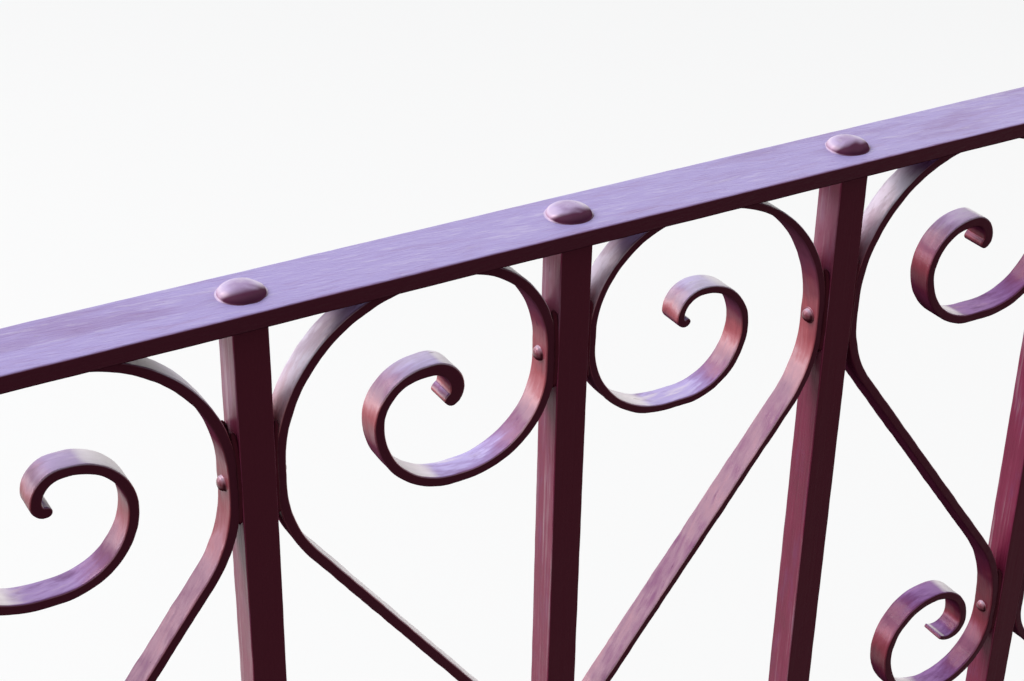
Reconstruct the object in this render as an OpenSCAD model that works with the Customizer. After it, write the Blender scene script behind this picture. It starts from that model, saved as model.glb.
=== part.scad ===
/* [Bays] */
// Distance between the middles of neighbouring bars
bar_pitch = 150; // [130:1:170]
// Open height between the upper and the lower row of scrolls
row_gap = 103; // [20:1:240]
// Height of the bottom rail's underside above the slab
foot_clear = 100; // [60:1:180]
// How far both rails run on past the end bars
rail_end = 60; // [55:1:140]

/* [Rails] */
// Width of the flat bar that makes a rail
rail_w = 36; // [32:0.5:50]
// Thickness of the flat bar that makes a rail
rail_t = 8; // [5:0.5:12]

/* [Bars] */
// Width of an upright along the rail
bar_w = 16; // [13:0.5:20]
// Depth of an upright across the rail
bar_d = 16; // [11.5:0.5:20]
// Diameter of the round tenon through a rail
tenon_d = 10; // [7:0.5:11]
// Diameter of the domed tenon head
head_d = 23; // [18:0.5:28]
// Height of the domed tenon head
head_h = 5; // [4:0.5:8]

/* [Scrolls] */
// Width of the scroll strap across the rail
strap_w = 14; // [11:0.5:18]
// Thickness of the scroll strap
strap_t = 5; // [3:0.25:6]
// Lean of the strap's straight run, from the upright
lean = 37; // [33:0.5:42]
// Length of each flat that lies against a bar
seat_l = 9.5; // [9.5:0.5:12]

/* [Rivets] */
// Diameter of the rivets through strap and bar
rivet_d = 5; // [3.5:0.5:6]
// Diameter of a rivet's round head
rivet_head_d = 9; // [7:0.5:9.5]
// Height of a rivet's round head
rivet_head_h = 3; // [2:0.5:4]

/* [Feet] */
// Length of a foot plate along the rail
plate_l = 90; // [80:1:104]
// Width of a foot plate across the rail
plate_w = 70; // [60:1:90]
// Thickness of a foot plate
plate_t = 8; // [6:0.5:12]
// Diameter of the bolt holes in a foot plate
bolt_d = 9; // [6:0.5:11]
// Distance from a bolt hole's middle to the plate's edges
bolt_edge = 14; // [12:0.5:16]

/* [Hidden] */
bar_count = 7;
bay_count = bar_count - 1;
mid_bar = (bar_count - 1) / 2;
standards = [0, mid_bar, bar_count - 1];
clear_w = bar_pitch - bar_w;
arc_steps = 10;
wine = [0.42, 0.15, 0.25];
mauve = [0.55, 0.38, 0.52];
eps = 1;

// Outer radii of a scroll's turns, mostly as shares of the clear width between two bars
upper_turns = [for (share = [0.5373, 0.3866, 0.3336, 0.2761, 0.1903, 0.1209]) share * clear_w];
lower_turns = [for (share = [0.2985, 0.2985, 0.2425, 0.187]) share * clear_w];
upper_shoulder = 0.505 * clear_w;
lower_shoulder = 0.578 * clear_w;
eye_r = 1.15 * strap_t;
curl_r = 0.09 * clear_w;
curl_turn = 130;
top_flat = clear_w - upper_turns[0] - upper_turns[1];
under_flat = 0.06 * clear_w;

// The straight takes up what the two shoulders leave of the clear width
shoulders_r = upper_shoulder + lower_shoulder - strap_t;
straight_l = (clear_w - strap_t - shoulders_r * (1 - cos(lean))) / sin(lean);
first_flat_z = -upper_turns[0];
last_flat_z = first_flat_z - seat_l - shoulders_r * sin(lean) - straight_l * cos(lean);

// Over the top into the spiral and its eye, and round under into the lower loop and its curl
spiral_runs = concat(
    [[upper_turns[0], 90], [top_flat, 0], [upper_turns[1], 90], [seat_l, 0]],
    [[upper_turns[2], 90], [under_flat, 0]],
    [for (i = [3 : 5]) [upper_turns[i], 90]],
    [[eye_r, 180]]
);
loop_runs = concat([for (r = lower_turns) [r, 90]], [[curl_r, curl_turn]]);

// Middles of a scroll's three flats, and its height, from the rail's face
upper_seat_z = first_flat_z - seat_l / 2;
opposite_seat_z = -upper_turns[1] - seat_l / 2;
lower_seat_z = last_flat_z - seat_l / 2;
scroll_h = lower_turns[0] + seat_l - last_flat_z;

panel_h = 2 * scroll_h + row_gap;
panel_z = foot_clear + rail_t;
top_z = panel_z + panel_h;
rail_l = bay_count * bar_pitch + 2 * rail_end;

function bar_x(i) = (i - mid_bar) * bar_pitch;
function is_standard(i) = len(search(i, standards)) > 0;
function reversed(list) = [for (i = [len(list) - 1 : -1 : 0]) list[i]];

function arc(x, z, r, from, to) =
    [for (i = [0 : arc_steps]) let (a = from + (to - from) * i / arc_steps) [x + r * cos(a), z + r * sin(a)]];

module strap_section() {
    translate([-strap_t, 0]) square([strap_t, strap_w]);
}

// Strap that starts up from the origin with its outer face on x = 0, one run after another:
// [length, 0] is straight, and [outer radius, angle] turns to the left
module strap(runs, i = 0) {
    if (i < len(runs)) {
        size = runs[i][0];
        turn = runs[i][1];
        if (turn == 0) {
            translate([-strap_t, 0, 0]) cube([strap_t, size, strap_w]);
            translate([0, size, 0]) strap(runs, i + 1);
        } else
            translate([-size, 0, 0]) {
                rotate_extrude(angle = turn, $fn = 96) translate([size, 0]) strap_section();
                rotate(turn) translate([size, 0, 0]) strap(runs, i + 1);
            }
    }
}

// The run that crosses the bay: a flat, a shoulder, the straight, a shoulder and a flat
module leaning_run() {
    high_z = first_flat_z - seat_l;
    low_x = clear_w - lower_shoulder;
    low_z = last_flat_z - seat_l;
    left_edge = concat(
        [[0, first_flat_z]],
        arc(upper_shoulder, high_z, upper_shoulder, 180, 180 + lean),
        arc(low_x, last_flat_z, lower_shoulder - strap_t, lean, 0),
        [[clear_w - strap_t, low_z]]
    );
    right_edge = concat(
        [[strap_t, first_flat_z]],
        arc(upper_shoulder, high_z, upper_shoulder - strap_t, 180, 180 + lean),
        arc(low_x, last_flat_z, lower_shoulder, lean, 0),
        [[clear_w, low_z]]
    );
    linear_extrude(height = strap_w) polygon(concat(left_edge, reversed(right_edge)));
}

module across(x, z) {
    translate([x, 0, z]) rotate([0, 90, 0]) children();
}

// A strap scroll under a rail, from one bar's face to the next bar's, with its first flat at the left
module scroll() {
    difference() {
        rotate([90, 0, 0]) translate([0, 0, -strap_w / 2]) {
            leaning_run();
            translate([0, first_flat_z, 0]) mirror([1, 0, 0]) strap(spiral_runs);
            translate([clear_w, last_flat_z - seat_l, 0]) mirror([0, 1, 0]) strap(loop_runs);
        }
        across(-eps, upper_seat_z) cylinder(d = rivet_d, h = strap_t + 2 * eps, $fn = 24);
        for (z = [opposite_seat_z, lower_seat_z])
            across(clear_w - strap_t - eps, z) cylinder(d = rivet_d, h = strap_t + 2 * eps, $fn = 24);
    }
}

// Neighbouring bays are mirror images, and the middle bar carries two first flats
module scroll_in_bay(bay) {
    flip = (bay - mid_bar) % 2 == 0 ? 0 : 1;
    translate([bar_x(bay + flip), 0, 0]) mirror([flip, 0, 0]) translate([bar_w / 2, 0, 0]) scroll();
}

module upper_scroll(bay) {
    color(wine) translate([0, 0, top_z]) scroll_in_bay(bay);
}

module lower_scroll(bay) {
    color(wine) translate([0, 0, panel_z]) mirror([0, 0, 1]) scroll_in_bay(bay);
}

// A low round cap that stands on the plane z = 0
module dome(d, h) {
    r = (d * d / 4 + h * h) / (2 * h);
    intersection() {
        translate([0, 0, h - r]) sphere(r = r, $fn = 48);
        cylinder(d = d + eps, h = h + eps, $fn = 48);
    }
}

// Heights of the rivets through a bar, for the flats of both rows of scrolls
function seats(i) = (i - mid_bar) % 2 == 0 ? [upper_seat_z] : [opposite_seat_z, lower_seat_z];
function rivet_heights(i) = [for (z = seats(i)) each [top_z + z, panel_z - z]];

module bar(i) {
    low_z = is_standard(i) ? plate_t : panel_z;
    color(wine) difference() {
        union() {
            translate([bar_x(i) - bar_w / 2, -bar_d / 2, low_z]) cube([bar_w, bar_d, top_z - low_z]);
            translate([bar_x(i), 0, top_z - eps]) cylinder(d = tenon_d, h = rail_t + eps, $fn = 32);
            if (!is_standard(i))
                translate([bar_x(i), 0, foot_clear]) cylinder(d = tenon_d, h = rail_t + eps, $fn = 32);
        }
        for (z = rivet_heights(i))
            across(bar_x(i) - bar_w, z) cylinder(d = rivet_d, h = 2 * bar_w, $fn = 24);
    }
}

// Each head is the end of a tenon, hammered out over the rail
module top_tenon_heads() {
    color(wine)
        for (i = [0 : bar_count - 1])
            translate([bar_x(i), 0, top_z + rail_t]) dome(head_d, head_h);
}

module bottom_tenon_heads() {
    color(wine)
        for (i = [0 : bar_count - 1])
            if (!is_standard(i))
                translate([bar_x(i), 0, foot_clear]) mirror([0, 0, 1]) dome(head_d, head_h);
}

// A rivet lies through the bar and whichever straps touch it
module rivet(x, z, left_strap, right_strap) {
    left = x - bar_w / 2 - left_strap * strap_t;
    right = x + bar_w / 2 + right_strap * strap_t;
    across(left - eps / 2, z) cylinder(d = rivet_d, h = right - left + eps, $fn = 24);
    across(right, z) dome(rivet_head_d, rivet_head_h);
    across(left, z) mirror([0, 0, 1]) dome(rivet_head_d, rivet_head_h);
}

module rivets(i) {
    color(wine)
        for (z = rivet_heights(i))
            rivet(bar_x(i), z, i > 0 ? 1 : 0, i < bar_count - 1 ? 1 : 0);
}

module rail_blank(z) {
    translate([-rail_l / 2, -rail_w / 2, z]) cube([rail_l, rail_w, rail_t]);
}

module top_rail() {
    color(mauve) difference() {
        rail_blank(top_z);
        for (i = [0 : bar_count - 1])
            translate([bar_x(i), 0, top_z - eps]) cylinder(d = tenon_d, h = rail_t + 2 * eps, $fn = 32);
    }
}

// The standards pass through the bottom rail at their full section
module bottom_rail() {
    color(wine) difference() {
        rail_blank(foot_clear);
        for (i = [0 : bar_count - 1])
            if (is_standard(i))
                translate([bar_x(i) - bar_w / 2, -bar_d / 2, foot_clear - eps])
                    cube([bar_w, bar_d, rail_t + 2 * eps]);
            else
                translate([bar_x(i), 0, foot_clear - eps])
                    cylinder(d = tenon_d, h = rail_t + 2 * eps, $fn = 32);
    }
}

module foot(i) {
    color(wine) translate([bar_x(i), 0, 0]) difference() {
        translate([-plate_l / 2, -plate_w / 2, 0]) cube([plate_l, plate_w, plate_t]);
        for (sx = [-1, 1], sy = [-1, 1])
            translate([sx * (plate_l / 2 - bolt_edge), sy * (plate_w / 2 - bolt_edge), -eps])
                cylinder(d = bolt_d, h = plate_t + 2 * eps, $fn = 32);
    }
}

bar_nodes = [for (i = [1 : bar_count]) str("bar_", i)];
upper_nodes = [for (i = [1 : bay_count]) str("upper_scroll_", i)];
lower_nodes = [for (i = [1 : bay_count]) str("lower_scroll_", i)];
rivet_nodes = [for (i = [1 : bar_count]) str("rivets_", i)];
foot_nodes = [for (i = [1 : len(standards)]) str("foot_", i)];

rail_nodes = ["top_rail", "bottom_rail", "top_tenon_heads", "bottom_tenon_heads"];

top_rail();
bottom_rail();
top_tenon_heads();
bottom_tenon_heads();
for (i = [0 : bar_count - 1]) bar(i);
for (i = [0 : bay_count - 1]) upper_scroll(i);
for (i = [0 : bay_count - 1]) lower_scroll(i);
for (i = [0 : bar_count - 1]) rivets(i);
for (i = [0 : len(standards) - 1]) foot(standards[i]);
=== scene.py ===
# Painted wrought-iron balcony railing: flat rails, riveted uprights and S-shaped strap scrolls.
import math
import random
import bmesh
import bpy
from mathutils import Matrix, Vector, noise


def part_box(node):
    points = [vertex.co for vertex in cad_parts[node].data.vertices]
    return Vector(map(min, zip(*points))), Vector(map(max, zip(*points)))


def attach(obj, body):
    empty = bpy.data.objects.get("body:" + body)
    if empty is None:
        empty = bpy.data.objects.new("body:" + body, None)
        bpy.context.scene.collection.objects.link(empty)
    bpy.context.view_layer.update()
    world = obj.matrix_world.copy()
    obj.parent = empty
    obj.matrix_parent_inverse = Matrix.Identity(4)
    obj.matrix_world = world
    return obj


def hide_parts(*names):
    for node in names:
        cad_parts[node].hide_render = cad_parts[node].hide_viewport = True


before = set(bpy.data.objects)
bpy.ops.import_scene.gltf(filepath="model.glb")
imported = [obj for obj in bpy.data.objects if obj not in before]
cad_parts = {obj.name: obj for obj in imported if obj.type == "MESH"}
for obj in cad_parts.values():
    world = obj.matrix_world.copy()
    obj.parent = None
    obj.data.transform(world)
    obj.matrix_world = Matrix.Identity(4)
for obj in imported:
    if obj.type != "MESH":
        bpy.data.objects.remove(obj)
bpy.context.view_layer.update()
print("frame loaded with", len(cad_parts), "solids")

# sizes that the frame gives, in metres
railLow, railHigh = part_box("top_rail")
lowRailLow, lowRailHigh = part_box("bottom_rail")
barSpans = [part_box(f"bar_{i}") for i in range(1, 8)]
barX = [(low.x + high.x) / 2 for low, high in barSpans]
barDepths = [high.y - low.y for low, high in barSpans]
bayLow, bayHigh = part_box("upper_scroll_4")
clearWidth = bayHigh.x - bayLow.x
barWidth = barX[1] - barX[0] - clearWidth
strapWidth = bayHigh.y - bayLow.y
railTop, railUnder = railHigh.z, railLow.z
panelFoot = lowRailHigh.z
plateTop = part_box("foot_1")[1].z
# each row of scrolls starts at a rail's face: above (1) or below (-1) the row
rows = (("upper", railUnder, 1), ("lower", panelFoot, -1))
bays = range(len(barX) - 1)


class Wire:
    # a socket that can be added, multiplied and so on
    def __init__(self, bench, socket):
        self.bench, self.socket = bench, socket

    def __add__(self, other):
        return self.bench.maths("ADD", self, other)

    def __sub__(self, other):
        return self.bench.maths("SUBTRACT", self, other)

    def __rsub__(self, other):
        return self.bench.maths("SUBTRACT", other, self)

    def __mul__(self, other):
        return self.bench.maths("MULTIPLY", self, other)

    def __truediv__(self, other):
        return self.bench.maths("DIVIDE", self, other)

    def __rtruediv__(self, other):
        return self.bench.maths("DIVIDE", other, self)

    def __pow__(self, other):
        return self.bench.maths("POWER", self, other)

    def __abs__(self):
        return self.bench.maths("ABSOLUTE", self, 0)

    __radd__ = __add__
    __rmul__ = __mul__

    def beside(self, name):
        # another output of the same node
        return Wire(self.bench, self.socket.node.outputs[name])


class Bench:
    # a node tree that is being filled, of a material or of a shape
    def __init__(self, tree):
        self.tree = tree
        tree.nodes.clear()

    def add(self, kind, settings=None, inputs=None, output=0):
        node = self.tree.nodes.new(kind)
        for key, value in (settings or {}).items():
            if key == "stops":
                while len(node.color_ramp.elements) < len(value):
                    node.color_ramp.elements.new(1)
                for element, (position, colour) in zip(node.color_ramp.elements, value):
                    element.position, element.color = position, rgba(colour)
            else:
                setattr(node, key, value)
        for key, value in (inputs or {}).items():
            if isinstance(value, Wire):
                self.tree.links.new(value.socket, node.inputs[key])
            elif value is not None:
                node.inputs[key].default_value = value
        return Wire(self, node.outputs[output]) if len(node.outputs) else node

    def maths(self, operation, a, b, clamp=False):
        return self.add("ShaderNodeMath", {"operation": operation, "use_clamp": clamp}, {0: a, 1: b})

    def vector(self, operation, a, b):
        # a scale takes its number from the fourth socket
        second = 3 if operation == "SCALE" else 1
        return self.add("ShaderNodeVectorMath", {"operation": operation}, {0: a, second: b})

    def parts(self, place):
        # the three numbers of a vector
        x = self.add("ShaderNodeSeparateXYZ", inputs={0: place})
        return x, x.beside("Y"), x.beside("Z")

    def blend(self, factor, a, b):
        return self.add("ShaderNodeMix", {"data_type": "RGBA"}, {0: factor, 6: a, 7: b}, 2)

    def ease(self, value, low, high):
        # 0 under low, 1 over high, smooth between
        ends = {0: value, 1: low, 2: high, 3: 0.0, 4: 1.0}
        return self.add("ShaderNodeMapRange", {"interpolation_type": "SMOOTHSTEP"}, ends)

    def grain(self, place, stretch, detail, rough, seed):
        # noise from 0 to 1, with so many lumps to the metre along each axis
        scaled = self.vector("MULTIPLY", place, stretch)
        given = {"Vector": scaled, "W": seed, "Scale": 1.0, "Detail": detail, "Roughness": rough}
        return self.add("ShaderNodeTexNoise", {"noise_dimensions": "4D"}, given)


def rgba(colour):
    return (*colour, 1.0)


# what a paint has unless it says otherwise
usualPaint = {
    "along": "X", "slant": 0.0, "wander": 0.0, "faceMix": 1.0, "frontShade": 0.0, "sunMix": 0.0,
    "leftMix": 0.0, "underRailLightMix": 0.0,
}
# colours are linear; a ramp runs from faces that look down (0) over upright ones (0.5) to the sky (1), with
# painted shade at the bottom and painted sky reflection at the top
paints = {
    "rail": {
        "ramp": [(0.0, (0.020, 0.004, 0.007)), (0.46, (0.060, 0.013, 0.022)), (0.62, (0.22, 0.070, 0.12)),
                 (0.80, (0.30, 0.16, 0.33)), (0.93, (0.35, 0.27, 0.54)), (1.0, (0.385, 0.33, 0.66))],
        "face": (0.075, 0.0150, 0.028), "slant": 0.10, "wander": 0.004,
        "strokes": (115.0, 850.0, 850.0), "bands": (30.0, 260.0, 260.0), "patches": (5.0, 26.0, 26.0),
        "streakTone": 0.19, "driftTone": 0.07, "violetMix": 0.35, "creamMix": 0.20, "sootMix": 0.26,
        "rough": (0.26, 0.40), "coat": 0.25, "shine": 0.30, "bump": 2.2,
    },
    "upright": {
        "ramp": [(0.0, (0.020, 0.004, 0.007)), (0.40, (0.11, 0.013, 0.034)), (0.50, (0.21, 0.022, 0.066)),
                 (0.72, (0.36, 0.16, 0.25)), (1.0, (0.46, 0.38, 0.62))],
        "face": (0.098, 0.0175, 0.032), "along": "Z", "slant": 0.03, "wander": 0.001,
        "strokes": (700.0, 700.0, 12.0), "bands": (160.0, 160.0, 9.0), "patches": (60.0, 60.0, 16.0),
        "streakTone": 0.09, "driftTone": 0.17, "violetMix": 0.45, "creamMix": 0.50,
        "leftMix": 0.42, "underRailLightMix": 0.30, "sootMix": 0.55,
        "rough": (0.26, 0.42), "coat": 0.14, "shine": 0.18, "bump": 0.6,
    },
    "strap": {
        "ramp": [(0.0, (0.030, 0.006, 0.012)), (0.30, (0.16, 0.045, 0.085)), (0.46, (0.22, 0.042, 0.065)),
                 (0.56, (0.36, 0.080, 0.100)), (0.63, (0.46, 0.16, 0.19)), (0.69, (0.57, 0.31, 0.36)),
                 (0.74, (0.46, 0.27, 0.34)), (0.79, (0.38, 0.24, 0.325)), (0.85, (0.24, 0.11, 0.22)),
                 (0.91, (0.26, 0.14, 0.31)), (0.97, (0.39, 0.30, 0.60)), (1.0, (0.54, 0.47, 0.84))],
        "face": (0.075, 0.0140, 0.027), "along": "laid", "slant": 0.12, "wander": 0.0025,
        "strokes": (75.0, 430.0, 300.0), "bands": (32.0, 150.0, 150.0), "patches": (26.0, 70.0, 60.0),
        "streakTone": 0.14, "driftTone": 0.17, "violetMix": 0.60, "creamMix": 0.60,
        "sunMix": 0.90, "underRailLightMix": 1.0, "sootMix": 0.85,
        "rough": (0.27, 0.44), "coat": 0.16, "shine": 0.22, "bump": 1.0,
    },
    "rivet": {
        "ramp": [(0.0, (0.030, 0.006, 0.012)), (0.44, (0.09, 0.014, 0.024)), (0.60, (0.19, 0.042, 0.062)),
                 (0.80, (0.40, 0.19, 0.25)), (1.0, (0.62, 0.50, 0.66))],
        "face": (0.060, 0.012, 0.020), "faceMix": 0.9,
        "strokes": (300.0, 300.0, 300.0), "bands": (120.0, 120.0, 120.0), "patches": (90.0, 90.0, 90.0),
        "streakTone": 0.08, "driftTone": 0.10, "violetMix": 0.2, "creamMix": 0.3,
        "sunMix": 0.3, "sootMix": 0.4,
        "rough": (0.22, 0.34), "coat": 0.35, "shine": 0.30, "bump": 0.4,
    },
    "head": {
        "ramp": [(0.0, (0.050, 0.010, 0.020)), (0.50, (0.18, 0.060, 0.11)), (0.75, (0.56, 0.38, 0.54)),
                 (0.90, (0.68, 0.56, 0.76)), (0.97, (0.52, 0.42, 0.68)), (1.0, (0.38, 0.28, 0.50))],
        "face": (0.085, 0.016, 0.045), "faceMix": 0.0, "frontShade": 0.96,
        "strokes": (160.0, 160.0, 160.0), "bands": (90.0, 90.0, 90.0), "patches": (60.0, 60.0, 60.0),
        "streakTone": 0.05, "driftTone": 0.06, "violetMix": 0.2, "creamMix": 0.35,
        "sunMix": 0.25, "sootMix": 0.25,
        "rough": (0.26, 0.38), "coat": 0.30, "shine": 0.25, "bump": 0.35,
    },
    "seam": {
        "ramp": [(0.0, (0.020, 0.004, 0.007)), (0.55, (0.045, 0.007, 0.013)), (1.0, (0.080, 0.020, 0.036))],
        "face": (0.080, 0.012, 0.022),
        "strokes": (300.0, 300.0, 300.0), "bands": (120.0, 120.0, 120.0), "patches": (90.0, 90.0, 90.0),
        "streakTone": 0.08, "driftTone": 0.10, "violetMix": 0.0, "creamMix": 0.0, "sootMix": 0.3,
        "rough": (0.40, 0.55), "coat": 0.0, "shine": 0.15, "bump": 0.5,
    },
}
# violet goes into blots of painted sky reflection, cream into painted highlights, and the last colour into
# painted light under the rail; soot is for dark scratches and specks
violet, cream = (0.19, 0.090, 0.25), (0.96, 0.92, 0.94)
soot, underRailLight = (0.060, 0.016, 0.040), (0.82, 0.77, 0.94)
# what the darker straps keep of each colour
deep = (0.40, 0.15, 0.30)
# each grain's detail, roughness and seed
grains = {
    "wander": (1.0, 0.5, 11.0), "strokes": (3.0, 0.6, 2.0), "bands": (2.0, 0.5, 5.0),
    "patches": (3.0, 0.6, 1.0), "blots": (4.0, 0.65, 4.0), "dust": (2.0, 0.5, 7.0), "lumps": (2.0, 0.5, 9.0),
}
# lumps to the metre that all paints share, and how much finer the blots are than the patches
wanderLumps, dustLumps, lumpLumps = (55.0, 55.0, 55.0), (620.0, 620.0, 620.0), (150.0, 150.0, 150.0)
blotFineness = 1.9
# the painted light, painted shade and marks on all paints: where each effect begins and where it is full
effects = {
    "leftSide": (0.3, 0.8), "sky": (0.0, 0.6), "openSky": (0.50, 0.95), "sheenBlots": (0.50, 0.68),
    "toSun": (0.55, 1.05), "sunny": (1.11, 1.27), "pale": (0.52, 0.70), "underRailLightBlots": (0.40, 0.60),
    "scratches": (0.63, 0.72), "scratchBlots": (0.48, 0.62), "specks": (0.70, 0.78),
    "speckPatches": (0.45, 0.62), "face": (0.70, 0.96), "front": (0.03, 0.40), "underside": (0.02, 0.30),
    "dull": (0.35, 0.65),
}
# the sun comes from the side of x too; the painted light under the rail lies in a band, in metres below it
sunAside = {"toSun": 0.5, "sunny": 0.9}
underRailLightBand = {"begins": 0.060, "full": 0.025, "fades": 0.020, "ends": 0.008}
# how much each grain adds to the streaks of painted highlight, and to the height of the bump
highlightShares = {"strokes": 0.6, "bands": 0.4, "patches": 0.3}
relief = {"bands": 0.5, "lumps": 0.4, "dust": 0.10, "strength": 0.35, "distance": 0.0008}
gloss = {"tint": (0.90, 0.15, 0.22, 1.0), "coatRoughness": 0.18, "mattRoughness": 0.9, "mattFace": 0.7}
leastSun, leastUnderRailLight = 0.6, 0.55


def mixPaint(name, look):
    material = bpy.data.materials.new(name)
    material.use_nodes = True
    bench = Bench(material.node_tree)
    spot = bench.add("ShaderNodeTexCoord", output="Object")
    aside, across, upward = bench.parts(spot.beside("Normal"))
    place = spot
    if look["along"] == "laid":
        place = bench.add("ShaderNodeAttribute", {"attribute_name": "laid"}, output="Vector")
    x, y, z = bench.parts(place)
    # the brush crossed the bar at a slant and wandered on its way
    wander = (bench.grain(place, wanderLumps, *grains["wander"]) - 0.5) * look["wander"]
    if look["along"] == "Z":
        slid = bench.add("ShaderNodeCombineXYZ", inputs={0: x + y * look["slant"] + wander, 1: y, 2: z})
    else:
        slid = bench.add("ShaderNodeCombineXYZ", inputs={0: x, 1: y + x * look["slant"] + wander, 2: z})
    strokes = bench.grain(slid, look["strokes"], *grains["strokes"])
    bands = bench.grain(slid, look["bands"], *grains["bands"])
    patches = bench.grain(place, look["patches"], *grains["patches"])
    blots = bench.grain(place, tuple(blotFineness * s for s in look["patches"]), *grains["blots"])
    dust = bench.grain(spot, dustLumps, *grains["dust"])
    lumps = bench.grain(spot, lumpLumps, *grains["lumps"])

    def eased(value, effect):
        return bench.ease(value, *effects[effect])

    # painted light by facing: painted sky reflection makes the sky side pale, painted shade keeps the
    # underside dark wine, and the grains shift it at random
    up = upward * 0.5 + 0.5 + (patches - 0.5) * look["driftTone"] + (bands - 0.5) * look["streakTone"]
    up = up + (strokes - 0.5) * look["streakTone"]
    colour = bench.add("ShaderNodeValToRGB", {"stops": look["ramp"]}, {0: up})
    # the left-facing sides take the painted sky light and the painted highlight too, as much as leftMix says
    leftSide = eased(0 - aside, "leftSide") * look["leftMix"]
    onSky = bench.maths("MAXIMUM", eased(upward, "sky"), leftSide)
    openToSky = bench.maths("MAXIMUM", eased(upward, "openSky"), leftSide)
    # violet blots on the faces open to the sky: tone at random, laid only where the sky is, so partly
    # painted sky reflection
    blotsAndSheen = eased(blots, "sheenBlots") * openToSky * look["violetMix"]
    colour = bench.blend(blotsAndSheen, colour, rgba(violet))
    # painted highlight: cream streaks on the faces turned up and towards +x, and on the lit left sides
    toSun = bench.maths("MAXIMUM", eased(upward + aside * sunAside["toSun"], "toSun"), leftSide)
    sunny = eased(upward + aside * sunAside["sunny"], "sunny")
    pale = strokes * highlightShares["strokes"] + bands * highlightShares["bands"]
    pale = eased(pale + (patches - 0.5) * highlightShares["patches"], "pale")
    colour = bench.blend(pale * toSun * look["creamMix"], colour, rgba(cream))
    # each strap is darkened as a whole, by its own share
    if look["along"] == "laid":
        worn = bench.add("ShaderNodeAttribute", {"attribute_name": "worn"}, output="Fac")
        colour = bench.blend(1 - worn, colour, bench.vector("MULTIPLY", colour, deep))
    # painted sun highlight: cream on the faces turned up and well towards +x
    colour = bench.blend(sunny * (leastSun + bands * leastSun) * look["sunMix"], colour, rgba(cream))
    # painted light: a pale band on the faces open to the sky below the rail, fading out right under it
    level = bench.parts(spot)[2]
    underRail = bench.ease(level, railUnder - underRailLightBand["begins"], railUnder - underRailLightBand["full"])
    nearRail = bench.ease(level, railUnder - underRailLightBand["fades"], railUnder - underRailLightBand["ends"])
    underRailLit = leastUnderRailLight + eased(blots, "underRailLightBlots") * (1 - leastUnderRailLight)
    underRailLit = underRail * (1 - nearRail) * onSky * underRailLit * look["underRailLightMix"]
    colour = bench.blend(underRailLit, colour, rgba(underRailLight))
    scratch = eased(strokes, "scratches") * eased(blots, "scratchBlots")
    scratch = bench.maths("MAXIMUM", scratch, eased(dust, "specks") * eased(patches, "speckPatches"))
    colour = bench.blend(scratch * look["sootMix"], colour, rgba(soot))
    # painted shade: the front and back faces are darkened to the face colour
    face = eased(abs(across), "face")
    colour = bench.blend(face * look["faceMix"], colour, rgba(look["face"]))
    shaded = eased(0 - across, "front") * look["frontShade"]
    colour = bench.blend(shaded, colour, rgba(look["face"]))

    low, high = look["rough"]
    roughness = low + (high - low) * eased(patches * 0.5 + strokes * 0.5, "dull")
    height = strokes * look["bump"] + bands * relief["bands"] + lumps * relief["lumps"]
    bump = bench.add("ShaderNodeBump", inputs={
        "Strength": relief["strength"], "Distance": relief["distance"],
        "Height": height + dust * relief["dust"]})
    shader = bench.add("ShaderNodeBsdfPrincipled", inputs={
        "Base Color": colour, "Roughness": roughness, "Normal": bump,
        "Specular IOR Level": look["shine"], "Specular Tint": gloss["tint"],
        "Coat Weight": (1 - face) * (1 - shaded) * look["coat"], "Coat Roughness": gloss["coatRoughness"],
    })
    # the undersides, the upright faces and the shaded front of a head are matt and without gloss, which
    # keeps their painted shade dark
    matt = bench.add("ShaderNodeBsdfPrincipled", inputs={
        "Base Color": colour, "Roughness": gloss["mattRoughness"], "Normal": bump,
        "Specular IOR Level": 0.0})
    mattShade = bench.maths("MAXIMUM", eased(0 - upward, "underside"), shaded)
    mattShade = bench.maths("MAXIMUM", mattShade, face * gloss["mattFace"])
    surface = bench.add("ShaderNodeMixShader", inputs={0: mattShade, 1: shader, 2: matt})
    bench.add("ShaderNodeOutputMaterial", inputs={"Surface": surface})
    return material


paint = {name: mixPaint(f"{name}Paint", {**usualPaint, **look}) for name, look in paints.items()}
print("paints mixed:", ", ".join(paint))


def newTree(name, sockets):
    # sockets are (name, kind, default); the tree gives back one geometry
    tree = bpy.data.node_groups.new(name, "GeometryNodeTree")
    tree.interface.new_socket("Geometry", in_out="INPUT", socket_type="NodeSocketGeometry")
    tree.interface.new_socket("Geometry", in_out="OUTPUT", socket_type="NodeSocketGeometry")
    for title, kind, value in sockets:
        socket = tree.interface.new_socket(title, in_out="INPUT", socket_type=f"NodeSocket{kind}")
        if value is not None:
            socket.default_value = value
    bench = Bench(tree)
    return tree, bench, bench.add("NodeGroupInput")


def endTree(bench, shape, material):
    solid = bench.add("GeometryNodeRealizeInstances", inputs={0: shape})
    solid = bench.add("GeometryNodeSetShadeSmooth", inputs={0: solid, "Shade Smooth": True})
    solid = bench.add("GeometryNodeSetMaterial", inputs={0: solid, "Material": material})
    bench.add("NodeGroupOutput", inputs={0: solid})


def store(bench, shape, name, kind, value):
    settings = {"data_type": kind, "domain": "POINT"}
    return bench.add("GeometryNodeStoreNamedAttribute", settings, {0: shape, "Name": name, "Value": value})


def read(bench, name, kind):
    return bench.add("GeometryNodeInputNamedAttribute", {"data_type": kind}, {"Name": name})


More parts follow.
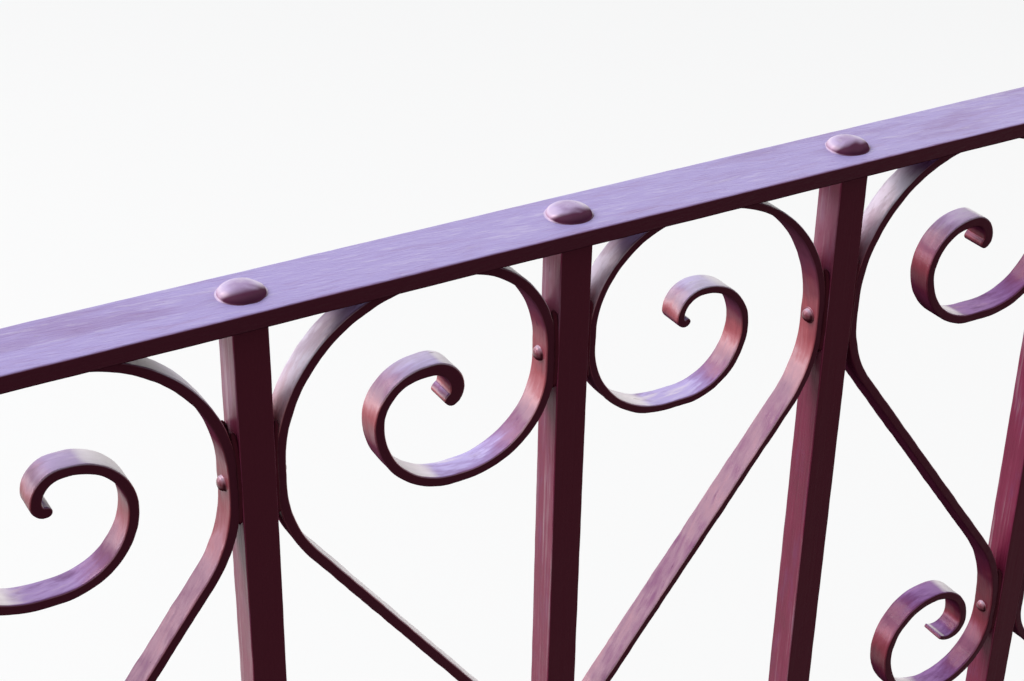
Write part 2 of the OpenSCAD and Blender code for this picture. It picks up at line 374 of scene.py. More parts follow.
def forgingTree():
    # sweeps a section along a path and works its surface with the hammer, always inwards
    tree, bench, given = newTree("forgedBar", [
        ("Path", "Object", None), ("Section", "Object", None), ("Up", "Vector", (0, 1, 0)),
        ("Half Width", "Float", 0.007), ("Half Thickness", "Float", 0.002),
        ("Hammer Depth", "Float", 0.0002), ("Hammer Lumps", "Float", 160.0),
        ("Wave Depth", "Float", 0.0003), ("Wave Lumps", "Float", 60.0),
        ("Tip Round", "Float", 0.001), ("End Round", "Float", 0.001),
        ("End Swell", "Float", 0.0), ("Swell Length", "Float", 0.012), ("Swell Side", "Float", 1.0),
        ("Knob Length", "Float", 0.0), ("Thinning", "Float", 0.0),
        ("End Taper", "Float", 0.0), ("Taper Length", "Float", 0.014),
        ("Worn", "Float", 1.0), ("Seed", "Float", 0.0), ("Material", "Material", None),
    ])
    up, side, seed = given.beside("Up"), given.beside("Swell Side"), given.beside("Seed")
    halfWide, halfThick = given.beside("Half Width"), given.beside("Half Thickness")
    # the waves' own seed, the noise that the blows use, and how far apart two bars take their brush strokes
    waveSeed, blowRange, strokesApart = seed + 7.0, (0.25, 0.75), 3.7
    whole = {"transform_space": "ORIGINAL"}
    path = bench.add("GeometryNodeObjectInfo", whole, {"Object": given.beside("Path")}, "Geometry")
    path = bench.add("GeometryNodeSetCurveNormal", {"mode": "FREE"}, {0: path, "Normal": up})
    along = bench.add("GeometryNodeSplineParameter", output="Length")
    length = bench.add("GeometryNodeSplineLength", output="Length")
    sideways = bench.vector("CROSS_PRODUCT", bench.add("GeometryNodeInputTangent"), up)
    path = store(bench, path, "along", "FLOAT", along)
    path = store(bench, path, "leftOver", "FLOAT", length - along)
    path = store(bench, path, "sideways", "FLOAT_VECTOR", sideways)
    section = bench.add("GeometryNodeObjectInfo", whole, {"Object": given.beside("Section")}, "Geometry")
    cornerX, cornerY = bench.parts(bench.add("GeometryNodeInputPosition"))[:2]
    section = store(bench, section, "across", "FLOAT", cornerX / halfWide)
    section = store(bench, section, "through", "FLOAT", cornerY / halfThick)
    swept = {0: path, 1: section, "Scale": bench.add("GeometryNodeInputRadius"), "Fill Caps": True}
    bar = bench.add("GeometryNodeCurveToMesh", inputs=swept)

    place = bench.add("GeometryNodeInputPosition")
    acrossBar, throughBar = read(bench, "across", "FLOAT"), read(bench, "through", "FLOAT")
    start, left = read(bench, "along", "FLOAT"), read(bench, "leftOver", "FLOAT")
    fourD = {"noise_dimensions": "4D"}
    lumps, waveLumps = given.beside("Hammer Lumps"), given.beside("Wave Lumps")
    blows = {"Vector": place, "W": seed, "Scale": lumps, "Detail": 2.0}
    hammer = bench.add("ShaderNodeTexNoise", fourD, blows)
    waving = {"Vector": place, "W": waveSeed, "Scale": waveLumps, "Detail": 1.0}
    waves = bench.add("ShaderNodeTexNoise", fourD, waving)
    tip, end = given.beside("Tip Round"), given.beside("End Round")
    byTip = bench.maths("DIVIDE", start, tip, True)
    byEnd = bench.maths("DIVIDE", left, end, True)
    # the section shrinks towards both ends along a quarter circle
    rounding = tip * (1 - (1 - (1 - byTip) ** 2) ** 0.5) + end * (1 - (1 - (1 - byEnd) ** 2) ** 0.5)
    # a knob closes in a half circle, and the other end is drawn out thin; the tiny sums are for no knob
    byKnob = bench.maths("DIVIDE", start + 1e-7, given.beside("Knob Length") + 1e-8, True)
    cap = (1 - (1 - byKnob) ** 2) ** 0.5
    taper = bench.ease(1 - left / given.beside("Taper Length"), 0.0, 1.0) * given.beside("End Taper")
    share = cap * (1 - (rounding + given.beside("Thinning") + taper) / halfThick)
    inwards = given.beside("Hammer Depth") * bench.ease(hammer, *blowRange) * byTip * byEnd
    swelling = bench.ease(1 - start / given.beside("Swell Length"), 0.0, 1.0) * given.beside("End Swell")
    inner = bench.maths("MAXIMUM", throughBar * side, 0.0) * side
    wide = acrossBar * (waves * given.beside("Wave Depth") + rounding) * -1
    thick = inner * swelling * cap - throughBar * halfThick * (1 - share)
    offset = bench.vector("SCALE", bench.add("GeometryNodeInputNormal"), 0 - inwards)
    offset = bench.vector("ADD", offset, bench.vector("SCALE", up, wide))
    through = bench.vector("SCALE", read(bench, "sideways", "FLOAT_VECTOR"), thick)
    offset = bench.vector("ADD", offset, through)
    bar = bench.add("GeometryNodeSetPosition", inputs={0: bar, "Offset": offset})
    # where each point lies on the bar when it is laid out straight, for the brush strokes
    laid = {0: start + seed * strokesApart, 1: acrossBar * halfWide, 2: throughBar * halfThick}
    bar = store(bench, bar, "laid", "FLOAT_VECTOR", bench.add("ShaderNodeCombineXYZ", inputs=laid))
    bar = store(bench, bar, "worn", "FLOAT", given.beside("Worn"))
    endTree(bench, bar, given.beside("Material"))
    return tree


def headsTree():
    # sets one head on each point, turned to the point's own facing
    tree, bench, given = newTree("headsOnPoints", [
        ("Points", "Object", None), ("Head", "Object", None), ("Smallest", "Float", 0.94),
        ("Seed", "Int", 1), ("Material", "Material", None)])
    whole, seed = {"transform_space": "ORIGINAL"}, given.beside("Seed")
    points = bench.add("GeometryNodeObjectInfo", whole, {"Object": given.beside("Points")}, "Geometry")
    head = bench.add("GeometryNodeObjectInfo", whole, {"Object": given.beside("Head")}, "Geometry")
    spins = {2: 0.0, 3: 2 * math.pi, "Seed": seed}
    spin = bench.add("FunctionNodeRandomValue", {"data_type": "FLOAT"}, spins, 1)
    spin = bench.add("FunctionNodeAxisAngleToRotation", inputs={"Axis": (0, 0, 1), "Angle": spin})
    facing = read(bench, "facing", "FLOAT_VECTOR")
    turn = bench.add("FunctionNodeAlignRotationToVector", {"axis": "Z"}, {"Vector": facing})
    turn = bench.add("FunctionNodeRotateRotation", {"rotation_space": "LOCAL"}, {0: turn, 1: spin})
    sizes = {2: given.beside("Smallest"), 3: 1.0, "Seed": seed + 3}
    size = bench.add("FunctionNodeRandomValue", {"data_type": "FLOAT"}, sizes, 1)
    placed = {"Points": points, "Instance": head, "Rotation": turn, "Scale": size}
    endTree(bench, bench.add("GeometryNodeInstanceOnPoints", inputs=placed), given.beside("Material"))
    return tree


forging, heading = forgingTree(), headsTree()


def linked(name, data):
    made = bpy.data.objects.new(name, data)
    bpy.context.scene.collection.objects.link(made)
    return made


def drawn(name, points, closed, radii=None):
    # a poly line as a curve object; the radii scale the section along it
    curve = bpy.data.curves.new(name, "CURVE")
    curve.dimensions = "3D"
    spline = curve.splines.new("POLY")
    spline.points.add(len(points) - 1)
    for spot, point, radius in zip(spline.points, points, radii or [1.0] * len(points)):
        spot.co, spot.radius = (*point, 1), radius
    spline.use_cyclic_u = closed
    return linked(name, curve)


def runTree(name, tree, values):
    # evaluates the tree on an empty host and gives back a plain mesh object
    host = linked(f"{name}Host", bpy.data.meshes.new(f"{name}Host"))
    modifier = host.modifiers.new("nodes", "NODES")
    modifier.node_group = tree
    sockets = {item.name: item.identifier for item in tree.interface.items_tree if item.in_out == "INPUT"}
    for key, value in values.items():
        modifier[sockets[key]] = value
    graph = bpy.context.evaluated_depsgraph_get()
    mesh = bpy.data.meshes.new_from_object(host.evaluated_get(graph), depsgraph=graph)
    mesh.name = name
    host.modifiers.clear()
    bpy.data.objects.remove(host)
    return linked(name, mesh)


def section(width, thickness, edge, wide, thin):
    # a rectangle with rounded corners, with so many steps along its sides and one more close to each corner
    cornerSteps, closeBy = 3, 0.5 * edge
    a, b = width / 2 - edge, thickness / 2 - edge
    corners = [(a, b), (-a, b), (-a, -b), (a, -b)]
    points = []
    for quarter, (x, y) in enumerate(corners):
        for i in range(cornerSteps + 1):
            angle = math.pi / 2 * (quarter + i / cornerSteps)
            points.append(Vector((x + edge * math.cos(angle), y + edge * math.sin(angle), 0)))
        steps = thin if quarter % 2 else wide
        nextX, nextY = corners[(quarter + 1) % 4]
        first = points[-1]
        last = Vector((nextX, nextY, 0)) + (first - Vector((x, y, 0)))
        near = closeBy / (last - first).length
        places = [near] + [i / steps for i in range(1, steps)] + [1 - near]
        points += [first.lerp(last, place) for place in places]
    return points


def circle(radius, sides):
    angles = [2 * math.pi * k / sides for k in range(sides)]
    return [Vector((math.cos(angle), math.sin(angle), 0)) * radius for angle in angles]


def inputName(key):
    # "hammerDepth" is the tree's input "Hammer Depth"
    return "".join(f" {letter}" if letter.isupper() else letter for letter in key).title()


def forge(name, path, shape, up, halves, material, closed=False, radii=None, **work):
    pathLine, sectionLine = drawn(f"{name}Path", path, closed, radii), drawn(f"{name}Section", shape, True)
    given = {inputName(key): float(value) for key, value in work.items()}
    given.update({"Path": pathLine, "Section": sectionLine, "Up": up, "Material": material})
    given.update({"Half Width": halves[0], "Half Thickness": halves[1]})
    made = runTree(name, forging, given)
    bpy.data.objects.remove(pathLine)
    bpy.data.objects.remove(sectionLine)
    return made


def finishPiece(piece, slot, *nodes):
    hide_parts(*nodes)
    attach(piece, "root")
    return piece


def joined(name, parts):
    # one mesh out of several, each keeping its own paint
    shape = bmesh.new()
    paintsUsed = []
    for part in parts:
        for material in part.data.materials:
            if material not in paintsUsed:
                paintsUsed.append(material)
        before = len(shape.faces)
        shape.from_mesh(part.data)
        shape.faces.ensure_lookup_table()
        for face in shape.faces[before:]:
            face.material_index = paintsUsed.index(part.data.materials[face.material_index])
    mesh = bpy.data.meshes.new(name)
    shape.to_mesh(mesh)
    shape.free()
    for material in paintsUsed:
        mesh.materials.append(material)
    for part in parts:
        bpy.data.objects.remove(part)
    return linked(name, mesh)


# the flare's profile: shares of its size inwards and upwards
flareShares = ((0.0, 0.0), (0.4, 0.08), (0.75, 0.25), (1.0, 0.5))


def turned(name, size, material):
    # a head turned from its outline, which starts and ends on the axis, with shallow dents
    outline, sides, shift = headOutline(size), size["sides"], Vector((size["seed"], 0, 0))
    shape = bmesh.new()
    rings = []
    for r, z in outline[1:-1]:
        ring = []
        for i in range(sides):
            angle = 2 * math.pi * i / sides
            spot = Vector((r * math.cos(angle), r * math.sin(angle), z))
            dent = size["dents"] * max(0.0, noise.noise(spot * size["dentLumps"] + shift))
            pull = 1 - size["dentPull"] * dent / r
            ring.append(shape.verts.new((spot.x * pull, spot.y * pull, spot.z - dent if z > 0 else z)))
        rings.append(ring)
    bottom, top = shape.verts.new((0, 0, outline[0][1])), shape.verts.new((0, 0, outline[-1][1]))
    for low, high in zip(rings, rings[1:]):
        for i in range(sides):
            shape.faces.new((low[i], low[(i + 1) % sides], high[(i + 1) % sides], high[i]))
    for i in range(sides):
        shape.faces.new((bottom, rings[0][(i + 1) % sides], rings[0][i]))
        shape.faces.new((top, rings[-1][i], rings[-1][(i + 1) % sides]))
    bmesh.ops.recalc_face_normals(shape, faces=shape.faces)
    mesh = bpy.data.meshes.new(name)
    shape.to_mesh(mesh)
    shape.free()
    mesh.materials.append(material)
    return linked(name, mesh)


def headOutline(size):
    # (radius, height) pairs: a small flare of paint at the foot and a domed cap
    r, flare, sunk = size["radius"], size["flare"], size["sunk"]
    outline = [(0, -sunk), (r, -sunk)]
    outline += [(r - inwards * flare, up * flare) for inwards, up in flareShares]
    capRadius, capFoot = outline[-1]
    rise, power = size["height"] - capFoot, 2 / size["roundness"]
    for i in range(1, size["steps"]):
        share = math.pi / 2 * i / size["steps"]
        x, up = math.cos(share) ** power, math.sin(share) ** power
        outline.append((capRadius * x, capFoot + rise * up))
    return outline + [(0, size["height"])]


def setHeads(name, head, spots, material, seed, smallest):
    # spots are (place, facing)
    mesh = bpy.data.meshes.new(f"{name}Spots")
    mesh.from_pydata([place for place, facing in spots], [], [])
    facings = mesh.attributes.new("facing", "FLOAT_VECTOR", "POINT")
    facings.data.foreach_set("vector", [c for place, facing in spots for c in facing])
    points = linked(f"{name}Spots", mesh)
    given = {"Points": points, "Head": head, "Smallest": smallest, "Seed": seed, "Material": material}
    made = runTree(name, heading, given)
    bpy.data.objects.remove(points)
    return made


def straight(start, end, step, edge):
    # points along a straight bar, close together where the ends are rounded
    start, end = Vector(start), Vector(end)
    length = (end - start).length
    rounded = [share * edge for share in (0.0, 0.12, 0.4)]
    count = max(2, round((length - 2 * edge) / step))
    places = rounded + [edge + (length - 2 * edge) * i / count for i in range(count + 1)]
    places += [length - near for near in reversed(rounded)]
    return [start.lerp(end, place / length) for place in places]


# rails; "wide" and "thin" are the steps along a section's sides, and "work" goes to the forging tree
rail = {
    "edge": 0.0011, "step": 0.004, "wide": 11, "thin": 3,
    "work": {"hammerDepth": 0.00015, "hammerLumps": 60, "waveDepth": 0.0007, "waveLumps": 26},
}


def makeRail(name, low, high, seed):
    width, thickness = high.y - low.y, high.z - low.z
    middle, edge = (low.z + high.z) / 2, rail["edge"]
    path = straight((low.x, 0, middle), (high.x, 0, middle), rail["step"], edge)
    shape = section(width, thickness, edge, rail["wide"], rail["thin"])
    return forge(name, path, shape, (0, 1, 0), (width / 2, thickness / 2), paint["rail"],
                 **rail["work"], tipRound=edge, endRound=edge, seed=seed)


finishPiece(makeRail("topRail", railLow, railHigh, seed=1), "rail_paint", "top_rail")
finishPiece(makeRail("bottomRail", lowRailLow, lowRailHigh, seed=2), "rail_paint", "bottom_rail")
print("rails forged")

# uprights: every third one stands on a foot
upright = {
    "edge": 0.0008, "end": 0.00024, "step": 0.003, "wide": 5, "thin": 4, "seed": 10,
    "work": {"hammerDepth": 0.00015, "hammerLumps": 90, "waveDepth": 0.0003, "waveLumps": 34},
}
standards = [0, 3, 6]
for i, (x, depth) in enumerate(zip(barX, barDepths)):
    foot, end = plateTop if i in standards else panelFoot, upright["end"]
    shape = section(barWidth, depth, upright["edge"], upright["wide"], upright["thin"])
    path = straight((x, 0, foot), (x, 0, railUnder), upright["step"], end)
    bar = forge(f"upright{i + 1}", path, shape, (1, 0, 0), (barWidth / 2, depth / 2), paint["upright"],
                **upright["work"], tipRound=end, endRound=end, seed=upright["seed"] + i)
    finishPiece(bar, "iron_paint", f"bar_{i + 1}")
print("uprights forged")

# headed tenons: low domes on the top rail, and under the bottom rail where no foot is
tenonHead = {
    "radius": 0.0108, "height": 0.0046, "flare": 0.0008, "sunk": 0.0004, "seated": 0.0001, "steps": 12,
    "sides": 56, "roundness": 2.0, "dents": 0.0004, "dentLumps": 190, "dentPull": 0.4, "seed": 3,
    "rowSeed": 21, "smallest": 0.95,
}
domeMaster = turned("domeMaster", tenonHead, paint["head"])
topSpots = [((x, 0, railTop - tenonHead["seated"]), (0, 0, 1)) for x in barX]
freeBars = [x for i, x in enumerate(barX) if i not in standards]
lowSpots = [((x, 0, lowRailLow.z + tenonHead["seated"]), (0, 0, -1)) for x in freeBars]
headRows = (("topTenonHeads", "top_tenon_heads", topSpots),
            ("bottomTenonHeads", "bottom_tenon_heads", lowSpots))
for seed, (name, node, spots) in enumerate(headRows, tenonHead["rowSeed"]):
    heads = setHeads(name, domeMaster, spots, paint["head"], seed, tenonHead["smallest"])
    finishPiece(heads, "iron_paint", node)
bpy.data.objects.remove(domeMaster)
print("tenons headed")

# strap scrolls: outer radii are shares of the clear width; "spiral" holds the run under the seat, a flat,
# the rise, the top, a flat there and the tuck before the eye
scroll = {
    "thickness": 0.005, "edge": 0.0011, "wide": 6, "thin": 2, "step": 0.0017, "turnStep": 9,
    "lean": 37, "seat": 0.0095, "over": (0.5373, 0.3866), "shoulders": (0.505, 0.578),
    "loop": (0.2985, 0.2985, 0.2425, 0.187), "curl": 0.09, "curlTurn": 130,
    "endSteps": (0.06, 0.2, 0.42, 0.7, 1.0), "endClear": 1.2, "seeds": {"upper": 40, "lower": 71},
    "work": {"hammerDepth": 0.0003, "hammerLumps": 110, "waveDepth": 0.0003, "waveLumps": 45,
             "tipRound": 0.0009, "endRound": 0.0009, "endTaper": 0.0012, "taperLength": 0.014},
}
# each was bent by hand, so the spirals and their eyes differ; the seats are where the rivets need them
usualHand = {
    "spiral": (0.3350, 0.0600, 0.2680, 0.1940, 0.0100, 0.1060), "eye": 0.0060, "eyeTurn": 110, "tip": 0.0022,
    "swell": 0.0008, "swellLength": 0.05, "lift": 0.0, "thinning": 0.0, "worn": 0.6,
}
hands = {
    "upper1": {"spiral": (0.3645, 0.0518, 0.2668, 0.2004, 0.0171, 0.1063), "eye": 0.0067, "eyeTurn": 118,
               "tip": 0.0026, "swell": 0.0003, "lift": 0.0028, "worn": 0.48},
    "upper2": {"spiral": (0.3395, 0.0352, 0.2876, 0.1769, 0.0290, 0.1020), "eye": 0.0086, "eyeTurn": 80,
               "tip": 0.0035, "swell": 0.0024, "worn": 1.0},
    "upper3": {"spiral": (0.3391, 0.0733, 0.2541, 0.2005, 0.0061, 0.1060), "eye": 0.0050, "eyeTurn": 165,
               "tip": 0.0020, "swell": 0.0, "swellLength": 0.04, "lift": 0.0044, "thinning": 0.0004,
               "worn": 0.95},
    "upper4": {"spiral": (0.3204, 0.0769, 0.2559, 0.1914, 0.0086, 0.0942), "eye": 0.0088, "eyeTurn": 58,
               "tip": 0.0030, "swell": 0.0010, "swellLength": 0.04, "worn": 0.20},
}
# how far the unseen ones stray from the usual: "spiral" by shares, the others between two values
handSpread = {"spiral": (0.975, 1.02), "eyeTurn": (80, 150), "swell": (0.0, 0.0014), "worn": (0.35, 0.9)}
handSeeds = {"upper": 5, "lower": 12}


def handOf(row, bay):
    # the seen ones as photographed, the others a little off the usual
    chance = random.Random(100 * bay + handSeeds[row])
    hand = dict(usualHand)
    hand["spiral"] = tuple(share * chance.uniform(*handSpread["spiral"]) for share in usualHand["spiral"])
    for part in ("eyeTurn", "swell", "worn"):
        hand[part] = chance.uniform(*handSpread[part])
    hand.update(hands.get(f"{row}{bay + 1}", {}))
    return hand


def walk(start, heading, runs, step):
    # points of a line that goes straight (length, 0) or turns (radius, degrees, left is positive)
    x, z = start
    points = [(x, z)]
    for size, turn in runs:
        if turn == 0:
            count = max(1, round(size / step))
            ways = [size * i / count for i in range(1, count + 1)]
            points += [(x + way * math.cos(heading), z + way * math.sin(heading)) for way in ways]
        else:
            side, angle = math.copysign(size, turn), math.radians(turn)
            count = max(math.ceil(abs(angle) * size / step), math.ceil(abs(turn) / scroll["turnStep"]))
            cx, cz = x - side * math.sin(heading), z + side * math.cos(heading)
            turns = [heading + angle * i / count for i in range(1, count + 1)]
            points += [(cx + side * math.sin(way), cz - side * math.cos(way)) for way in turns]
            heading += angle
        x, z = points[-1]
    return points


# the turns that all scrolls share, and the leaning run that takes up the rest of the clear width
firstOver, secondOver, highShoulder, lowShoulder = (
    share * clearWidth for share in scroll["over"] + scroll["shoulders"])
slope, bends = math.radians(scroll["lean"]), highShoulder + lowShoulder - scroll["thickness"]
leaning = (clearWidth - scroll["thickness"] - bends * (1 - math.cos(slope))) / math.sin(slope)
lowSeat = firstOver + scroll["seat"] + bends * math.sin(slope) + leaning * math.cos(slope)


def scrollLine(hand):
    # middle line of the strap from its eye to its curl, from the first bar's face and the rail's face
    w, half, seat, lean = clearWidth, scroll["thickness"] / 2, scroll["seat"], scroll["lean"]
    under, flat, rise, top, topFlat, tuck = (share * w for share in hand["spiral"])
    up = [(firstOver - half, -90), (w - firstOver - secondOver, 0), (secondOver - half, -90)]
    up += [(seat - hand["lift"], 0), (under - half, -90), (flat, 0), (rise - half, -90)]
    up += [(top - half, -90), (topFlat, 0), (tuck - half, -90), (hand["eye"] - half, -hand["eyeTurn"])]
    down = [(seat, 0), (highShoulder - half, lean), (leaning, 0), (lowShoulder - half, -lean), (seat, 0)]
    down += [(share * w - half, -90) for share in scroll["loop"]]
    down += [(scroll["curl"] * w - half, -scroll["curlTurn"])]
    upLine = walk((half, -firstOver), math.pi / 2, up, scroll["step"])
    downLine = walk((half, -firstOver), -math.pi / 2, down, scroll["step"])
    return withRoundEnds(upLine[::-1] + downLine[1:], hand["tip"], scroll["work"]["endRound"])


def withRoundEnds(line, tip, end):
    # the ends get points close together, for their rounding
    def nearStart(points, edge):
        a, rest = Vector(points[0]), list(points[1:])
        while (Vector(rest[0]) - a).length < scroll["endClear"] * edge:
            rest.pop(0)
        way = (Vector(rest[0]) - a).normalized()
        return [points[0]] + [tuple(a + way * edge * share) for share in scroll["endSteps"]] + rest
    return nearStart(nearStart(line, tip)[::-1], end)[::-1]


def bayX(bay, u):
    # a place between two bars; every other bay is mirrored
    left = barX[bay] + barWidth / 2
    return left + clearWidth - u if bay % 2 == 0 else left + u


strapSection = section(strapWidth, scroll["thickness"], scroll["edge"], scroll["wide"], scroll["thin"])
strapHalves = (strapWidth / 2, scroll["thickness"] / 2)
for row, railFace, sign in rows:
    for bay in bays:
        hand = handOf(row, bay)
        path = [(bayX(bay, u), 0, railFace + sign * d) for u, d in scrollLine(hand)]
        made = forge(f"{row}Scroll{bay + 1}", path, strapSection, (0, 1, 0), strapHalves, paint["strap"],
                     **scroll["work"], endSwell=hand["swell"], swellLength=hand["swellLength"],
                     swellSide=sign if bay % 2 == 0 else -sign, knobLength=hand["tip"],
                     thinning=hand["thinning"], worn=hand["worn"], seed=scroll["seeds"][row] + 3 * bay)
        finishPiece(made, "iron_paint", f"{row}_scroll_{bay + 1}")
print("scrolls bent")

# beads end in a nose of their own or run in a ring, so the forging rounds none of their ends
unroundedEnds = {"tipRound": 1e-5, "endRound": 1e-5}
# where a strap leaves the rail or an upright, a dark bead fills the narrow gap
seam = {
    "radius": 0.0016, "wideGap": 0.0032, "narrowGap": 0.0014, "grip": 0.0003, "nose": 0.0025,
    "noseTip": 0.06, "proud": 0.0009, "step": 0.0015, "sides": 10, "seed": 90,
    "work": {"hammerDepth": 0.0003, "hammerLumps": 260, "waveDepth": 0.0, **unroundedEnds},
}
# each contact is (upright face or rail, from, to, bend radius before, bend radius after)
contacts = [
    ("rail", firstOver, clearWidth - secondOver, firstOver, secondOver),
    ("first", firstOver, firstOver + scroll["seat"], firstOver, highShoulder),
    ("far", secondOver, secondOver + scroll["seat"], secondOver, usualHand["spiral"][0] * clearWidth),
    ("far", lowSeat, lowSeat + scroll["seat"], lowShoulder, scroll["loop"][0] * clearWidth),
]


def seamLine(contact):
    # points (u, d, depth) in the middle of the gap, and how thick the seam is there; it fills the gap
    # up to a width, further on the side that faces the rail, and ends in a round nose
    where, start, end, before, after = contact
    lastGap = seam["wideGap"] if where == "rail" else seam["narrowGap"]
    back, forth = math.sqrt(2 * before * seam["wideGap"]), math.sqrt(2 * after * lastGap)
    length = end - start + back + forth
    count = round(length / seam["step"])
    points, fullness = [], []
    for i in range(count + 1):
        place = start - back + length * i / count
        beyond, bend, reach = start - place, before, back
        if place >= start:
            beyond, bend, reach = max(0.0, place - end), after, forth
        gap = beyond ** 2 / (2 * bend)
        thick = max(1.0, (gap / 2 + seam["grip"]) / seam["radius"])
        depth = strapWidth / 2 - seam["radius"] * thick + seam["proud"] * (1 - beyond / reach)
        away = {"rail": (place, gap / 2), "first": (gap / 2, place), "far": (clearWidth - gap / 2, place)}
        points.append((*away[where], depth))
        short = max(0.0, 1 - min(place - start + back, end + forth - place) / seam["nose"])
        fullness.append(thick * math.sqrt(max(seam["noseTip"], 1 - short ** 2)))
    return points, fullness


seamSection, seamHalves = circle(seam["radius"], seam["sides"]), (seam["radius"], seam["radius"])
for row, railFace, sign in rows:
    for bay in bays:
        beads = []
        for number, contact in enumerate(contacts):
            points, fullness = seamLine(contact)
            for side in (-1, 1):
                path = [(bayX(bay, u), side * depth, railFace - sign * d) for u, d, depth in points]
                beads.append(forge(f"seam{number}{side}", path, seamSection, (0, 1, 0), seamHalves,
                                   paint["seam"], radii=fullness, **seam["work"], seed=seam["seed"] + bay))
        piece = joined(f"{row}Seams{bay + 1}", beads)
        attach(piece, "root")
print("seams filled with paint")

# rivets: the heads stand where the CAD rivets end
rivetHead = {
    "radius": 0.0042, "height": 0.0027, "flare": 0.0008, "sunk": 0.0004, "seated": 0.0003, "steps": 7,
    "sides": 28, "roundness": 2.1, "dents": 0.0004, "dentLumps": 190, "dentPull": 0.4, "seed": 8,
    "setSeed": 60, "smallest": 0.9,
}
rivetMaster = turned("rivetMaster", rivetHead, paint["rivet"])
for i, x in enumerate(barX):
    seats = [firstOver] if i % 2 else [secondOver, lowSeat]
    depths = [place + scroll["seat"] / 2 for place in seats]
    spots = []
    for z in [railUnder - d for d in depths] + [panelFoot + d for d in depths]:
        for side, neighbour in ((-1, i > 0), (1, i < len(bays))):
            reach = barWidth / 2 + (scroll["thickness"] if neighbour else 0)
            spots.append(((x + side * (reach - rivetHead["seated"]), 0, z), (side, 0, 0)))
    seed = rivetHead["setSeed"] + i
    heads = setHeads(f"rivets{i + 1}", rivetMaster, spots, paint["rivet"], seed, rivetHead["smallest"])
    finishPiece(heads, "iron_paint", f"rivets_{i + 1}")
bpy.data.objects.remove(rivetMaster)
print("rivets set")

# foot plates: the CAD plate with its edges eased, and a weld round the standard
footPlate = {"edge": 0.0014, "edgeSteps": 3, "edgeAngle": 40, "flatAngle": 0.02, "merge": 1e-6}
weld = {
    "radius": 0.0035, "sides": 16, "lift": 0.0006, "steps": 14, "seed": 80,
    "work": {"hammerDepth": 0.0009, "hammerLumps": 330, "waveDepth": 0.0, **unroundedEnds},
}


def easedPlate(name, node):
    low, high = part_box(node)
    plate = linked(name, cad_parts[node].data.copy())
    shape = bmesh.new()
    shape.from_mesh(plate.data)
    bmesh.ops.remove_doubles(shape, verts=shape.verts, dist=footPlate["merge"])
    flat = {"angle_limit": footPlate["flatAngle"], "verts": shape.verts, "edges": shape.edges}
    bmesh.ops.dissolve_limit(shape, **flat)
    bmesh.ops.recalc_face_normals(shape, faces=shape.faces)
    shape.to_mesh(plate.data)
    shape.free()
    bevel = plate.modifiers.new("eased", "BEVEL")
    bevel.width, bevel.segments = footPlate["edge"], footPlate["edgeSteps"]
    bevel.limit_method, bevel.angle_limit = "ANGLE", math.radians(footPlate["edgeAngle"])
    graph = bpy.context.evaluated_depsgraph_get()
    mesh = bpy.data.meshes.new_from_object(plate.evaluated_get(graph), depsgraph=graph)
    bpy.data.objects.remove(plate)
    for point in mesh.vertices:
        point.co = [min(max(point.co[k], low[k]), high[k]) for k in range(3)]
    mesh.materials.clear()
    mesh.materials.append(paint["upright"])
    mesh.shade_smooth()
    return linked(name, mesh)


for number, i in enumerate(standards, 1):
    plate = easedPlate(f"plate{number}", f"foot_{number}")
    a, b = barWidth / 2, barDepths[i] / 2
    corners = [Vector((x, y, 0)) for x, y in ((a, -b), (a, b), (-a, b), (-a, -b))]
    middle = Vector((barX[i], 0, plateTop + weld["lift"]))
    path = []
    for start, end in zip(corners, corners[1:] + corners[:1]):
        path += [start.lerp(end, s / weld["steps"]) + middle for s in range(weld["steps"])]
    bead = forge(f"weld{number}", path, circle(weld["radius"], weld["sides"]), (0, 0, 1),
                 (weld["radius"], weld["radius"]), paint["upright"], closed=True,
                 **weld["work"], seed=weld["seed"] + number)
    finishPiece(joined(f"footPlate{number}", [plate, bead]), "iron_paint", f"foot_{number}")
print("feet welded")

# floor, world and lamps
studio = {
    "floorSize": 14.0, "floorDrop": 0.0004, "floorGlow": 0.805, "glowColour": (0.99, 0.995, 1.0, 1),
    "floorSeen": 0.15, "floorForDiffuse": 0.28, "floorRoughness": 0.9, "worldAmbient": 0.36, "pale": 0.945,
}
lamps = {
    "key": {"place": (-2.3, 2.1, 3.5), "size": 2.6, "power": 156.0, "colour": (1.0, 0.985, 0.97)},
    "side": {"place": (-3.4, 2.7, 0.85), "size": 1.6, "power": 36.0, "colour": (1.0, 0.99, 1.0)},
    "rim": {"place": (2.9, 0.7, 2.4), "size": 1.6, "power": 30.0, "colour": (1.0, 0.97, 0.93)},
}


def seenDirectly(bench):
    # 1 for what the camera sees, directly or in a gloss or glass
    rays = bench.add("ShaderNodeLightPath", output="Is Camera Ray")
    mirrored = bench.maths("MAXIMUM", rays.beside("Is Glossy Ray"), rays.beside("Is Transmission Ray"))
    return bench.maths("MAXIMUM", rays, mirrored)


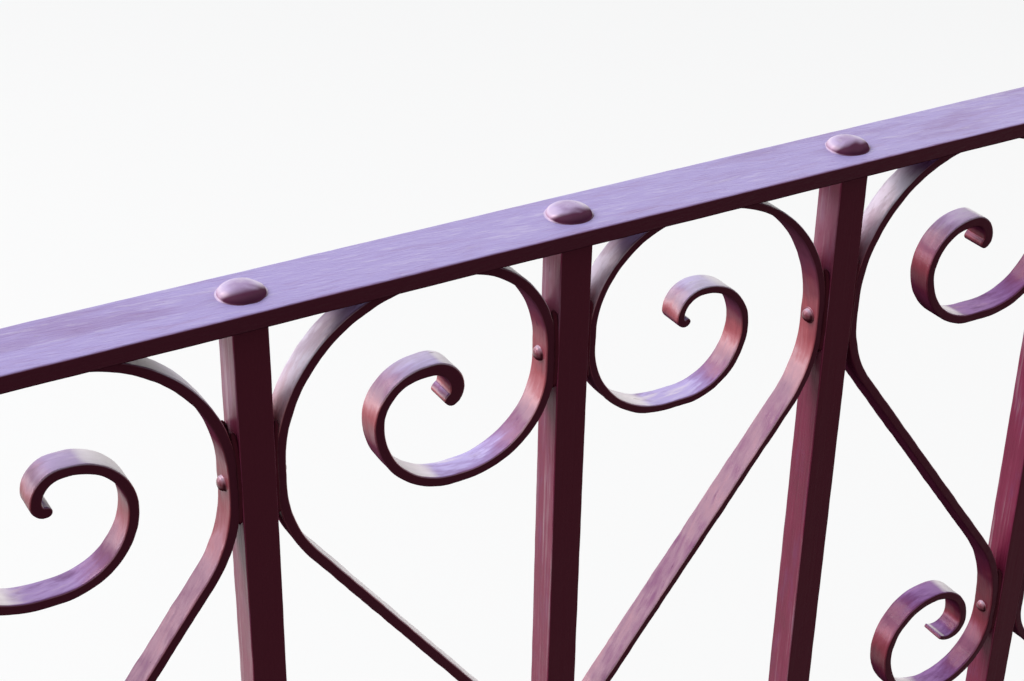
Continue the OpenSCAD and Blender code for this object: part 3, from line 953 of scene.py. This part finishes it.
floorMesh = bpy.data.meshes.new("floor")
half, low = studio["floorSize"] / 2, -studio["floorDrop"]
corners = [(-half, -half, low), (half, -half, low), (half, half, low), (-half, half, low)]
floorMesh.from_pydata(corners, [], [(0, 1, 2, 3)])
floorMaterial = bpy.data.materials.new("paleFloor")
floorMaterial.use_nodes = True
bench = Bench(floorMaterial.node_tree)
seen = seenDirectly(bench)
tone = bench.blend(seen, rgba((studio["floorForDiffuse"],) * 3), rgba((studio["floorSeen"],) * 3))
shader = bench.add("ShaderNodeBsdfPrincipled", inputs={
    "Base Color": tone, "Roughness": studio["floorRoughness"], "Specular IOR Level": 0.0,
    "Emission Color": studio["glowColour"], "Emission Strength": seen * studio["floorGlow"]})
bench.add("ShaderNodeOutputMaterial", inputs={"Surface": shader})
floorMesh.materials.append(floorMaterial)
linked("floor", floorMesh)

world = bpy.data.worlds.new("studioWorld")
bpy.context.scene.world = world
world.use_nodes = True
bench = Bench(world.node_tree)
strength = studio["worldAmbient"] + seenDirectly(bench) * (studio["pale"] - studio["worldAmbient"])
sky = bench.add("ShaderNodeBackground", inputs={"Color": (1, 1, 1, 1), "Strength": strength})
bench.add("ShaderNodeOutputWorld", inputs={"Surface": sky})

# the lamps look at the middle of what the photograph shows
aim = Vector((-0.1, 0, 0.75))
for name, lamp in lamps.items():
    light = bpy.data.lights.new(name, "AREA")
    light.shape, light.size, light.energy, light.color = "DISK", lamp["size"], lamp["power"], lamp["colour"]
    made = linked(name, light)
    made.location = lamp["place"]
    made.rotation_euler = (aim - Vector(lamp["place"])).to_track_quat("-Z", "Y").to_euler()

# camera where the photograph was taken from; its turns are in degrees
view = {
    "lens": 68.54, "sensor": 36.0, "nearest": 0.02, "place": (-0.5509, -0.6305, 1.2772),
    "turns": (60.509, -0.962, -30.14),
}
camera = bpy.data.cameras.new("camera")
camera.lens, camera.sensor_width, camera.clip_start = view["lens"], view["sensor"], view["nearest"]
eye = linked("camera", camera)
eye.location = view["place"]
eye.rotation_euler = [math.radians(turn) for turn in view["turns"]]
bpy.context.scene.camera = eye
bpy.context.scene.view_settings.view_transform = "Standard"
print("floor, lamps and camera placed")
